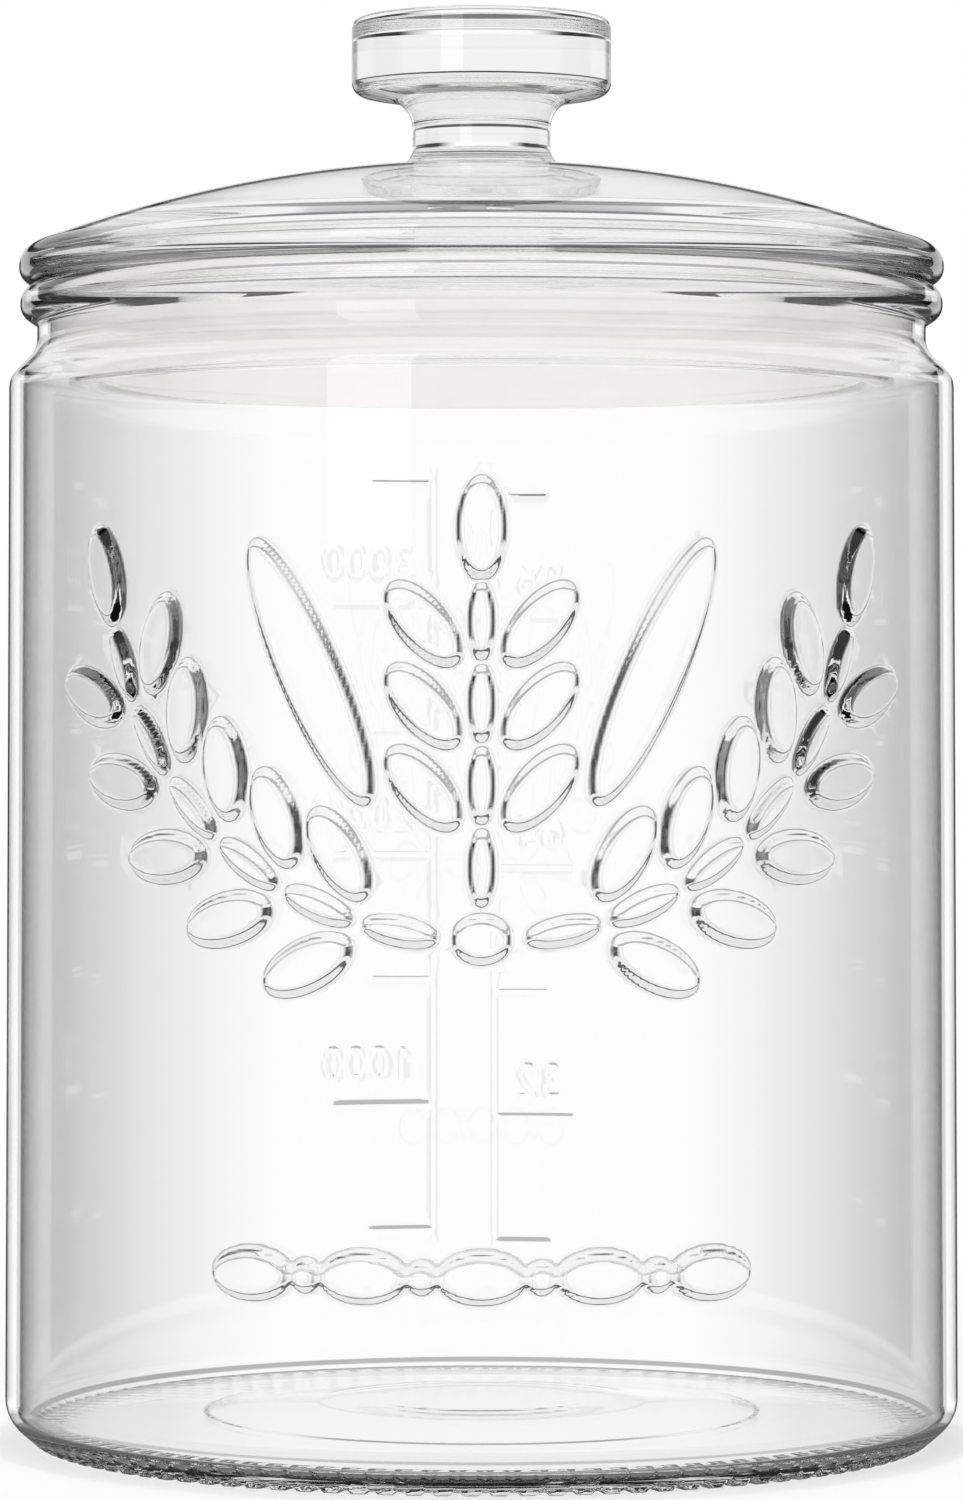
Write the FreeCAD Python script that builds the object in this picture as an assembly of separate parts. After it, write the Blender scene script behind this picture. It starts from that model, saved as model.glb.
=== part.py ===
import FreeCAD, Part
import math
import os

# A clear glass storage jar with a knobbed glass lid that drops into its mouth.
# Millimetres, +Z up, origin on the axis in the plane of the ring that the jar stands on.

# Jar body
jar_height = 205.2
body_radius = 84.7
body_draft = 0.84
body_wall = 3.0
heel_run = 5.4
heel_rise = 4.6
heel_round = 7.0
inside_heel_round = 5.0
floor_thickness = 3.8

# Underside of the jar: flat bearing ring, bottom that rises towards the middle, stepped panel
bearing_width = 4.6
bearing_edge_round = 0.8
push_up = 3.4
push_up_inner_radius = 24.0
push_up_round = 150.0
panel_radius = 49.2
panel_step = 0.8
panel_step_run = 0.7
panel_step_round = 0.3

# Shoulder, neck and rolled rim
shoulder_height = 188.3
shoulder_rise = 5.1
shoulder_wall = 2.6
shoulder_round = 4.0
shoulder_inside_round = 3.0
neck_radius = 78.9
neck_wall = 2.3
neck_round = 5.0
neck_inside_round = 7.0
rim_radius = 81.9
rim_height = 7.5
rim_under_rise = 2.0
rim_root_round = 0.8
rim_under_round = 2.9
rim_top_round = 3.6
mouth_edge_round = 0.8

# Raised ornament on the front of the wall: an ear of grain, two leaves and two curved branches
relief_rise = 1.6
relief_root = 2.0
grain_length = 17.0
grain_width = 8.4
grain_offset = 3.9
grain_lean_angle = 42.0
stem_node_length = 12.8
stem_node_width = 4.6
ear_foot_height = 110.5
ear_pitch = 13.5
ear_pair_count = 3
branch_radius = 72.0
branch_centre_height = 164.0
branch_first_angle = 16.5
branch_step_angle = 11.5
branch_pair_count = 5
leaf_length = 48.0
leaf_width = 11.0
leaf_across = 29.0
leaf_height = 136.0
leaf_angle = 65.0
tie_length = 10.0
tie_width = 8.0

# Raised row of spindles and beads low on the front
row_height = 36.4
row_pitch = 9.8
row_spindle_count = 5
spindle_length = 15.0
spindle_width = 8.6
bead_width = 5.4

# Lid: rounded lip under a shallow spherical crown
lid_radius = 82.1
lid_thickness = 5.0
lip_under_round = 2.6
lip_top_round = 3.9
crown_height = 21.5
crown_radius = 222.0
crown_edge_inset = 4.1

# Stem and knob, in one piece with the lid
stem_radius = 12.3
stem_height = 10.8
stem_foot_round = 3.5
stem_head_round = 5.0
knob_radius = 23.1
knob_thickness = 13.2
knob_taper = 1.8
knob_under_round = 2.3
knob_top_round = 1.8
knob_crown_radius = 400.0

# Hollow plug under the lid, with a foot bead that keeps the seal on
plug_wall = 4.5
plug_inside_round = 4.0
plug_inside_foot_round = 2.0
plug_foot_height = 1.7
plug_foot_bead = 1.1
plug_foot_round = 0.5

# Seal round the plug: a sleeve with a collar at its top and two lips below it
seal_wall = 1.5
seal_height = 12.5
seal_headroom = 4.2
seal_edge_round = 0.2
seal_collar_height = 5.4
seal_collar_round = 0.8
seal_lip_count = 2
seal_lip_pitch = 3.0
seal_lip_start = 0.4
seal_lip_depth = 2.4
seal_lip_thickness = 0.9
seal_lip_rake = 0.5
seal_lip_tip_round = 0.35
seal_lip_root_round = 0.4

# Clearances
lip_to_mouth_clearance = 0.3
seal_to_plug_clearance = 0.05

# Straights shorter than this are left out of an outline
shortest_edge = 0.00001

# Places that the pieces share
mouth_radius = neck_radius - neck_wall
seat_height = jar_height
seal_lip_radius = mouth_radius - lip_to_mouth_clearance
seal_outer_radius = seal_lip_radius - seal_lip_depth
seal_inner_radius = seal_outer_radius - seal_wall
seal_top = seat_height - seal_headroom
seal_bottom = seal_top - seal_height
plug_radius = seal_inner_radius - seal_to_plug_clearance


def rounded_outline(corners):
    """A closed wire through (r, z, round) corners, each rounded by a tangent arc.

    Two rounds that don't fit on the straight between their corners shrink until they do.
    """
    count = len(corners)
    points = [FreeCAD.Vector(r, 0, z) for r, z, corner_round in corners]
    sides = [points[(i + 1) % count] - points[i] for i in range(count)]
    ways = [FreeCAD.Vector(side).normalize() for side in sides]
    half_turns = [ways[i - 1].getAngle(ways[i]) / 2 for i in range(count)]
    trims = [corner[2] * math.tan(turn) for corner, turn in zip(corners, half_turns)]
    for i in range(count):
        after = (i + 1) % count
        fit = min(1, sides[i].Length / (trims[i] + trims[after] or sides[i].Length))
        trims[i] *= fit
        trims[after] *= fit
    edges = []
    for i in range(count):
        start = points[i] - ways[i - 1] * trims[i]
        end = points[i] + ways[i] * trims[i]
        if trims[i] > 0:
            depth = trims[i] * math.tan(half_turns[i] / 2)
            inward = (ways[i] - ways[i - 1]).normalize()
            edges.append(Part.Arc(start, points[i] + inward * depth, end).toShape())
        following = points[(i + 1) % count] - ways[i] * trims[(i + 1) % count]
        if (following - end).Length > shortest_edge:
            edges.append(Part.LineSegment(end, following).toShape())
    return Part.Wire(edges)


def turned(corners):
    """The solid that a closed (r, z, round) outline sweeps about the Z axis."""
    face = Part.Face(rounded_outline(corners))
    return face.revolve(FreeCAD.Vector(0, 0, 0), FreeCAD.Vector(0, 0, 1), 360)


def crown_tangent(apex, radius, touch, r):
    """Height at r of the line that touches a spherical crown at radius touch."""
    slope = math.asin(touch / radius)
    return apex - radius * (1 - math.cos(slope)) - (r - touch) * math.tan(slope)


def crown_corner(apex, radius, inner_touch, outer_touch):
    """Corner whose round is the stretch of a spherical crown between two radii."""
    inner = math.asin(inner_touch / radius)
    outer = math.asin(outer_touch / radius)
    reach = radius / math.cos((outer - inner) / 2)
    middle = (outer + inner) / 2
    return (reach * math.sin(middle), apex - radius + reach * math.cos(middle), radius)


def wall_radius(height):
    """Outside of the wall at a height: it leans in by its draft up to the shoulder."""
    return body_radius - body_draft * height / shoulder_height


def grain_from(across, height, angle):
    """One grain of an ear, as an oval that starts at its foot and points along an angle."""
    way = math.radians(angle)
    middle_across = across + grain_length / 2 * math.cos(way)
    middle_height = height + grain_length / 2 * math.sin(way)
    return (grain_length, grain_width, middle_across, middle_height, angle)


def grain_pair(across, height, angle):
    """Two grains that lean away from a stem, on either side of it."""
    ovals = []
    for side in (-1, 1):
        aside = math.radians(angle + side * 90)
        foot = across + grain_offset * math.cos(aside)
        foot_height = height + grain_offset * math.sin(aside)
        ovals.append(grain_from(foot, foot_height, angle + side * grain_lean_angle))
    return ovals


def ear_ovals():
    """The upright ear: a jointed stem, pairs of grains and one grain at the tip."""
    ovals = []
    for i in range(ear_pair_count):
        ovals += grain_pair(0, ear_foot_height + i * ear_pitch, 90)
    for i in range(ear_pair_count + 1):
        ovals.append((stem_node_length, stem_node_width, 0, ear_foot_height + (i - 0.5) * ear_pitch, 90))
    return ovals + [grain_from(0, ear_foot_height + ear_pair_count * ear_pitch, 90)]


def branch_angle(step):
    """Angle of a branch at a number of steps beyond its first pair of grains."""
    return branch_first_angle + step * branch_step_angle


def branch_spot(step):
    """Place on a branch, which curves up from the middle on an arc, at a number of steps."""
    turn = math.radians(branch_angle(step))
    return branch_radius * math.sin(turn), branch_centre_height - branch_radius * math.cos(turn)


def branch_ovals():
    """The right branch: a jointed stem, pairs of grains and one grain at the tip."""
    ovals = []
    for i in range(branch_pair_count):
        ovals += grain_pair(*branch_spot(i), branch_angle(i))
    for i in range(branch_pair_count + 1):
        ovals.append((stem_node_length, stem_node_width, *branch_spot(i - 0.5), branch_angle(i - 0.5)))
    return ovals + [grain_from(*branch_spot(branch_pair_count), branch_angle(branch_pair_count))]


def row_ovals():
    """Spindles and beads in turn."""
    ovals = []
    for i in range(1 - row_spindle_count, row_spindle_count):
        if (i + row_spindle_count) % 2:
            ovals.append((spindle_length, spindle_width, i * row_pitch, row_height, 0))
        else:
            ovals.append((bead_width, bead_width, i * row_pitch, row_height, 0))
    return ovals


def oval_pad(length, width, across, height, angle):
    """Oval pad rooted in the front of the wall, across being measured along the wall's curve."""
    axis = FreeCAD.Vector(0, 0, 0)
    foot_radius = wall_radius(height) - relief_root
    outline = Part.Wire([Part.Ellipse(axis, length / 2, width / 2).toShape()])
    pad = Part.Face(outline).extrude(FreeCAD.Vector(0, 0, relief_root + relief_rise))
    pad.rotate(axis, FreeCAD.Vector(0, 0, 1), angle)
    pad.rotate(axis, FreeCAD.Vector(1, 0, 0), 90)
    pad.translate(FreeCAD.Vector(0, -foot_radius, height))
    pad.rotate(axis, FreeCAD.Vector(0, 0, 1), math.degrees(across / wall_radius(height)))
    return pad


def relief_pads():
    """The ornament and the row below it, as pads that stand clear of each other."""
    half = branch_ovals() + [(leaf_length, leaf_width, leaf_across, leaf_height, leaf_angle)]
    mirrored = [(length, width, -across, height, -angle) for length, width, across, height, angle in half]
    tie = (tie_length, tie_width, 0, branch_centre_height - branch_radius, 0)
    return [oval_pad(*oval) for oval in half + mirrored + ear_ovals() + row_ovals() + [tie]]


def make_jar_body():
    """Blown jar: domed floor on a bearing ring, heel, straight wall, shoulder, neck and rolled rim."""
    bearing_outer_radius = body_radius - heel_run
    bearing_inner_radius = bearing_outer_radius - bearing_width
    panel_height = push_up + panel_step
    under_slope = push_up / (bearing_inner_radius - push_up_inner_radius)
    panel_foot = (bearing_inner_radius - panel_radius) * under_slope
    panel_edge = panel_foot + panel_step_run * under_slope + panel_step
    shoulder_radius = wall_radius(shoulder_height)
    inside_foot_radius = wall_radius(floor_thickness) - body_wall
    inside_top_radius = shoulder_radius - body_wall
    neck_height = shoulder_height + shoulder_rise
    rim_bottom = jar_height - rim_height
    slope = shoulder_rise / (shoulder_radius - neck_radius)
    slope_drop = shoulder_wall * math.hypot(1, slope)
    mouth_foot = shoulder_height + (shoulder_radius - mouth_radius) * slope - slope_drop
    wall_top = shoulder_height + body_wall * slope - slope_drop
    floor_top = floor_thickness + push_up
    jar = turned([
        (0, panel_height, 0),
        (push_up_inner_radius, panel_height, push_up_round),
        (panel_radius - panel_step_run, panel_edge, panel_step_round),
        (panel_radius, panel_foot, panel_step_round),
        (bearing_inner_radius, 0, bearing_edge_round),
        (bearing_outer_radius, 0, bearing_edge_round),
        (wall_radius(heel_rise), heel_rise, heel_round),
        (shoulder_radius, shoulder_height, shoulder_round),
        (neck_radius, neck_height, neck_round),
        (neck_radius, rim_bottom, rim_root_round),
        (rim_radius, rim_bottom + rim_under_rise, rim_under_round),
        (rim_radius, jar_height, rim_top_round),
        (mouth_radius, jar_height, mouth_edge_round),
        (mouth_radius, mouth_foot, neck_inside_round),
        (inside_top_radius, wall_top, shoulder_inside_round),
        (inside_foot_radius, floor_thickness, inside_heel_round),
        (bearing_inner_radius, floor_thickness, push_up_round),
        (push_up_inner_radius, floor_top, push_up_round),
        (0, floor_top, 0),
    ])
    return jar.fuse(relief_pads())


def make_lid():
    """Pressed lid: knob, waisted stem, crown, lip and hollow plug in one piece of glass."""
    crown_top = seat_height + crown_height
    stem_top = crown_top + stem_height
    knob_bottom = stem_top + knob_taper
    knob_edge = knob_bottom + knob_thickness
    knob_touch = knob_radius - knob_top_round
    knob_top = knob_edge - crown_tangent(0, knob_crown_radius, knob_touch, knob_radius)
    stem_touch = stem_radius + stem_foot_round
    lip_touch = lid_radius - crown_edge_inset
    plug_inner_radius = plug_radius - plug_wall
    plug_bead_radius = plug_radius + plug_foot_bead
    plug_bottom = seal_bottom - plug_foot_height
    under_top = crown_top - lid_thickness
    under_radius = crown_radius - lid_thickness
    under_touch = plug_inner_radius - plug_inside_round
    return turned([
        (0, knob_top, 0),
        crown_corner(knob_top, knob_crown_radius, 0, knob_touch),
        (knob_radius, knob_edge, knob_top_round),
        (knob_radius, knob_bottom, knob_under_round),
        (stem_radius, stem_top, stem_head_round),
        (stem_radius, crown_tangent(crown_top, crown_radius, stem_touch, stem_radius), stem_foot_round),
        crown_corner(crown_top, crown_radius, stem_touch, lip_touch),
        (lid_radius, crown_tangent(crown_top, crown_radius, lip_touch, lid_radius), lip_top_round),
        (lid_radius, seat_height, lip_under_round),
        (plug_radius, seat_height, 0),
        (plug_radius, seal_bottom, 0),
        (plug_bead_radius, seal_bottom, plug_foot_round),
        (plug_bead_radius, plug_bottom, plug_foot_round),
        (plug_inner_radius, plug_bottom, plug_inside_foot_round),
        (
            plug_inner_radius,
            crown_tangent(under_top, under_radius, under_touch, plug_inner_radius),
            plug_inside_round,
        ),
        crown_corner(under_top, under_radius, 0, under_touch),
        (0, under_top, 0),
    ])


def make_lid_seal():
    """Soft sleeve that grips the plug and sits on its foot bead. Collar and lips wipe the mouth."""
    collar_bottom = seal_top - seal_collar_height
    corners = [
        (seal_inner_radius, seal_top, seal_edge_round),
        (seal_inner_radius, seal_bottom, seal_edge_round),
        (seal_outer_radius, seal_bottom, seal_edge_round),
    ]
    for lip in range(seal_lip_count):
        under = seal_bottom + seal_lip_start + lip * seal_lip_pitch
        over = under + seal_lip_thickness
        corners += [
            (seal_outer_radius, under, seal_lip_root_round),
            (seal_lip_radius, under + seal_lip_rake, seal_lip_tip_round),
            (seal_lip_radius, over + seal_lip_rake, seal_lip_tip_round),
            (seal_outer_radius, over, seal_lip_root_round),
        ]
    return turned(corners + [
        (seal_outer_radius, collar_bottom, seal_lip_root_round),
        (seal_lip_radius, collar_bottom, seal_collar_round),
        (seal_lip_radius, seal_top, seal_collar_round),
    ])


os.makedirs("parts", exist_ok=True)
make_jar_body().exportStep("parts/jar_body.step")
make_lid().exportStep("parts/lid.step")
make_lid_seal().exportStep("parts/lid_seal.step")
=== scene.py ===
"""Looks of a clear glass storage jar with a knobbed lid and a lipped seal.

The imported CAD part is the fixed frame. Each of its three pieces is shown by a finer mesh with the
same outline. The jar's mesh also softens the raised ornament on the front of the wall, and it adds
a measuring scale on the back and ribs on the ring that the jar stands on.
"""

import json
import logging
import math
from dataclasses import dataclass, replace
from enum import Enum
from typing import Callable, Iterator, Optional, Sequence, Union

import bmesh
import bpy
import numpy as np
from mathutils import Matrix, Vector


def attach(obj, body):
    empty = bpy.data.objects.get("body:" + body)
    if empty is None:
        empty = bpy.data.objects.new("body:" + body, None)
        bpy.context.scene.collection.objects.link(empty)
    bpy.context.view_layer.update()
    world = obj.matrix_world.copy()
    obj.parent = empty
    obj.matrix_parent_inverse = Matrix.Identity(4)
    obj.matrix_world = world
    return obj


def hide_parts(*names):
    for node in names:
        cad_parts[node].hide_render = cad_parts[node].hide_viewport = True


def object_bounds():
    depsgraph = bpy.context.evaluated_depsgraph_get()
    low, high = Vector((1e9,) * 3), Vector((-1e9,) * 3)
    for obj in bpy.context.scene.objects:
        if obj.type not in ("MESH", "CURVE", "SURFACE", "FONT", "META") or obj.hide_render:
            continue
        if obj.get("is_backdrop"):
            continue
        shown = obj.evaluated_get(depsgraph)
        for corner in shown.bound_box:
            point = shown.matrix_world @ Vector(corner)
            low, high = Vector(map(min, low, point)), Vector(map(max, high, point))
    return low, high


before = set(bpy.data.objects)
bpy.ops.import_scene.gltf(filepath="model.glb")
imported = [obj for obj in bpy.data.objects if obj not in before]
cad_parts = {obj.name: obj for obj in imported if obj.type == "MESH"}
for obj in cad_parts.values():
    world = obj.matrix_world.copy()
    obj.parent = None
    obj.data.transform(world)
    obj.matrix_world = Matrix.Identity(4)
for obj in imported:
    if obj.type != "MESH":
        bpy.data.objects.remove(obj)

LOG = logging.getLogger("storage_jar")
MM = 0.001
# Lengths in mm below this count as none
NO_LENGTH = 1e-6
# Keeps a division from meeting zero
SPECK = 1e-9

Corner = tuple[float, float, float]
Point = tuple[float, float]
Reach = tuple[float, float, float, float]
Stops = tuple[Point, ...]
NodeInput = Union[float, tuple, bpy.types.NodeSocket, bpy.types.Node]


class Body(Enum):
    """CAD bodies that pieces ride on."""

    JAR = "jar"
    LID = "lid"


class Side(Enum):
    """Sides of the wall, by the angle of their middle from the front."""

    FRONT = 0.0
    BACK = math.pi


def to_linear(code: str) -> tuple[float, float, float, float]:
    """Turns an sRGB hex colour into linear RGBA.

    Args:
        code: colour as "#rrggbb".

    Returns:
        The linear red, green, blue and an alpha of 1.
    """
    parts = [int(code[i : i + 2], 16) / 255 for i in (1, 3, 5)]
    red, green, blue = (
        p / 12.92 if p <= 0.04045 else ((p + 0.055) / 1.055) ** 2.4 for p in parts
    )
    return red, green, blue, 1.0


WHITE = to_linear("#FFFFFF")


def add_node(
    tree: bpy.types.NodeTree,
    kind: str,
    inputs: Optional[dict[Union[str, int], NodeInput]] = None,
    stops: Stops = (),
    **settings: object,
) -> bpy.types.Node:
    """Adds a shader node with its settings and links.

    Args:
        tree: node tree that takes the node.
        kind: node type without its ShaderNode prefix.
        inputs: what each input takes: a value, a socket, or a node, which gives its first output.
        stops: places and grey levels, for a colour ramp.
        **settings: properties of the node.

    Returns:
        The new node.
    """
    node = tree.nodes.new("ShaderNode" + kind)
    for name, value in settings.items():
        setattr(node, name, value)
    for key, value in (inputs or {}).items():
        if isinstance(value, bpy.types.Node):
            value = next(socket for socket in value.outputs if socket.enabled)
        if isinstance(value, bpy.types.NodeSocket):
            tree.links.new(value, node.inputs[key])
        else:
            node.inputs[key].default_value = value
    for number, (place, grey) in enumerate(stops):
        points = node.color_ramp.elements
        stop = points[number] if number < 2 else points.new(place)
        stop.position = place
        stop.color = (grey, grey, grey, 1.0)
    return node


def new_tree(owner: Union[bpy.types.Material, bpy.types.World]) -> bpy.types.NodeTree:
    """Gives a material or world an empty node tree.

    Args:
        owner: the material or world.

    Returns:
        Its node tree.
    """
    owner.use_nodes = True
    owner.node_tree.nodes.clear()
    return owner.node_tree


@dataclass(frozen=True)
class SodaLimeGlass:
    """Clear soda-lime glass, blown or pressed in an iron mould and fire polished.

    The flame leaves a skin without any grain, so it is perfectly smooth close by. What the mould
    leaves is a long, shallow wave, which shows only as streaks that wander where the glass bends
    light most. The sand holds hardly any iron, so thick places stay grey and don't turn green.
    """

    name: str
    tint: str = "#FEFEFE"
    refraction: float = 1.52
    wave_mm: float = 38.0
    wave_depth_mm: float = 0.02

    def make(self) -> bpy.types.Material:
        """Mixes the glass.

        Returns:
            The material.
        """
        material = bpy.data.materials.new(self.name)
        tree = new_tree(material)
        place = add_node(tree, "TexCoord").outputs["Object"]
        wave = add_node(
            tree,
            "TexNoise",
            {"Vector": place, "Scale": 1 / (self.wave_mm * MM), "Detail": 1.0, "Roughness": 0.4},
        )
        bump = add_node(
            tree,
            "Bump",
            {"Height": wave, "Strength": 1.0, "Distance": self.wave_depth_mm * MM},
        )
        glass = add_node(
            tree,
            "BsdfPrincipled",
            {
                "Base Color": to_linear(self.tint),
                "Roughness": 0.0,
                "IOR": self.refraction,
                "Transmission Weight": 1.0,
                "Normal": bump,
            },
        )
        add_node(tree, "OutputMaterial", {"Surface": glass})
        return material


@dataclass(frozen=True)
class MilkySilicone:
    """Unpigmented silicone rubber, pressed in a sandblasted mould.

    Fine silica in the rubber scatters light, so it glows like wax instead of showing what is
    behind it, and the blasted mould leaves a satin grain that spreads every highlight.
    """

    name: str
    colour: str = "#F8F7F5"
    clouded: str = "#F0EFED"
    cloud_mm: float = 9.0
    grain_mm: float = 0.35
    grain_depth_mm: float = 0.02
    roughness: float = 0.42
    refraction: float = 1.41
    glow_mm: tuple[float, float, float] = (1.8, 1.8, 1.7)

    def make(self) -> bpy.types.Material:
        """Mixes the rubber.

        Returns:
            The material.
        """
        material = bpy.data.materials.new(self.name)
        tree = new_tree(material)
        place = add_node(tree, "TexCoord").outputs["Object"]
        cloud = add_node(
            tree,
            "TexNoise",
            {"Vector": place, "Scale": 1 / (self.cloud_mm * MM), "Detail": 2.0},
        )
        colour = add_node(
            tree,
            "Mix",
            {"Factor": cloud, "A": to_linear(self.colour), "B": to_linear(self.clouded)},
            data_type="RGBA",
        )
        grain = add_node(
            tree,
            "TexNoise",
            {"Vector": place, "Scale": 1 / (self.grain_mm * MM), "Detail": 1.0},
        )
        bump = add_node(
            tree,
            "Bump",
            {"Height": grain, "Strength": 0.5, "Distance": self.grain_depth_mm * MM},
        )
        rubber = add_node(
            tree,
            "BsdfPrincipled",
            {
                "Base Color": colour,
                "Roughness": self.roughness,
                "IOR": self.refraction,
                "Subsurface Weight": 0.6,
                "Subsurface Radius": self.glow_mm,
                "Subsurface Scale": MM,
                "Normal": bump,
            },
        )
        add_node(tree, "OutputMaterial", {"Surface": rubber})
        return material


@dataclass(frozen=True)
class Outline:
    """Half section of a turned piece, through corners that tangent arcs round.

    Attributes:
        corners: radius, height and round of each corner, in mm.
        closed: whether the last corner joins the first.
        arc_step: largest turn between two points of an arc, in radians.
        chord: longest chord on an arc, in mm.
        guard: straights get a point this near to their ends, in mm, which keeps them flat.
    """

    corners: Sequence[Corner]
    closed: bool = False
    arc_step: float = math.radians(6)
    chord: float = 4.0
    guard: float = 0.15

    def trims(self, lengths: np.ndarray, half_turns: np.ndarray) -> np.ndarray:
        """Works out how much each round takes off the straights beside it, shrunk to fit them.

        Args:
            lengths: length of the straight after each corner, in mm.
            half_turns: half the turn at each corner, in radians.

        Returns:
            The lengths taken off, in mm.
        """
        trims = np.array([corner[2] for corner in self.corners]) * np.tan(half_turns)
        for i, length in enumerate(lengths):
            after = (i + 1) % len(trims)
            taken = trims[i] + trims[after]
            if taken > length:
                trims[i], trims[after] = trims[i] * length / taken, trims[after] * length / taken
        return trims

    def points(self) -> np.ndarray:
        """Walks round the outline.

        Returns:
            Rows of radius and height, in mm.
        """
        spots = np.array([corner[:2] for corner in self.corners])
        sides = np.roll(spots, -1, 0) - spots
        lengths = np.hypot(*sides.T)
        ways = sides / lengths[:, None]
        before = np.roll(ways, 1, 0)
        crosses = before[:, 0] * ways[:, 1] - before[:, 1] * ways[:, 0]
        turns = np.arctan2(crosses, (before * ways).sum(1))
        trims = self.trims(lengths, np.abs(turns) / 2)
        found: list[np.ndarray] = []
        for i, spot in enumerate(spots):
            found += self.corner(spot, before[i], turns[i], trims[i])
            if self.closed or i + 1 < len(spots):
                end = spots[(i + 1) % len(spots)] - ways[i] * trims[(i + 1) % len(spots)]
                found += self.straight(found[-1], end)
        return np.array(found)

    def corner(
        self, spot: np.ndarray, way: np.ndarray, turn: float, trim: float
    ) -> list[np.ndarray]:
        """Rounds one corner.

        Args:
            spot: the sharp corner.
            way: direction in which the outline comes to it.
            turn: turn of the outline there, in radians.
            trim: length that the arc takes off the straights, in mm.

        Returns:
            Points of the arc, or the corner itself if it is sharp.
        """
        if trim < NO_LENGTH:
            return [spot]
        radius = trim / math.tan(abs(turn) / 2)
        inward = np.array([-way[1], way[0]]) * math.copysign(1, turn)
        onward = np.array([-inward[1], inward[0]])
        centre = spot - way * trim + inward * radius
        by_turn, by_chord = abs(turn) / self.arc_step, radius * abs(turn) / self.chord
        count = max(2, math.ceil(by_turn), math.ceil(by_chord))
        swept = np.linspace(0, turn, count + 1)
        return [centre - radius * (inward * math.cos(a) + onward * math.sin(a)) for a in swept]

    def straight(self, start: np.ndarray, end: np.ndarray) -> list[np.ndarray]:
        """Guards one straight.

        Args:
            start: first point of the straight.
            end: last point of the straight.

        Returns:
            A point near each end, or none if the straight is short.
        """
        length = math.hypot(*(end - start))
        if length < 4 * self.guard:
            return []
        share = self.guard / length
        return [start + (end - start) * s for s in (share, 1 - share)]


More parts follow.
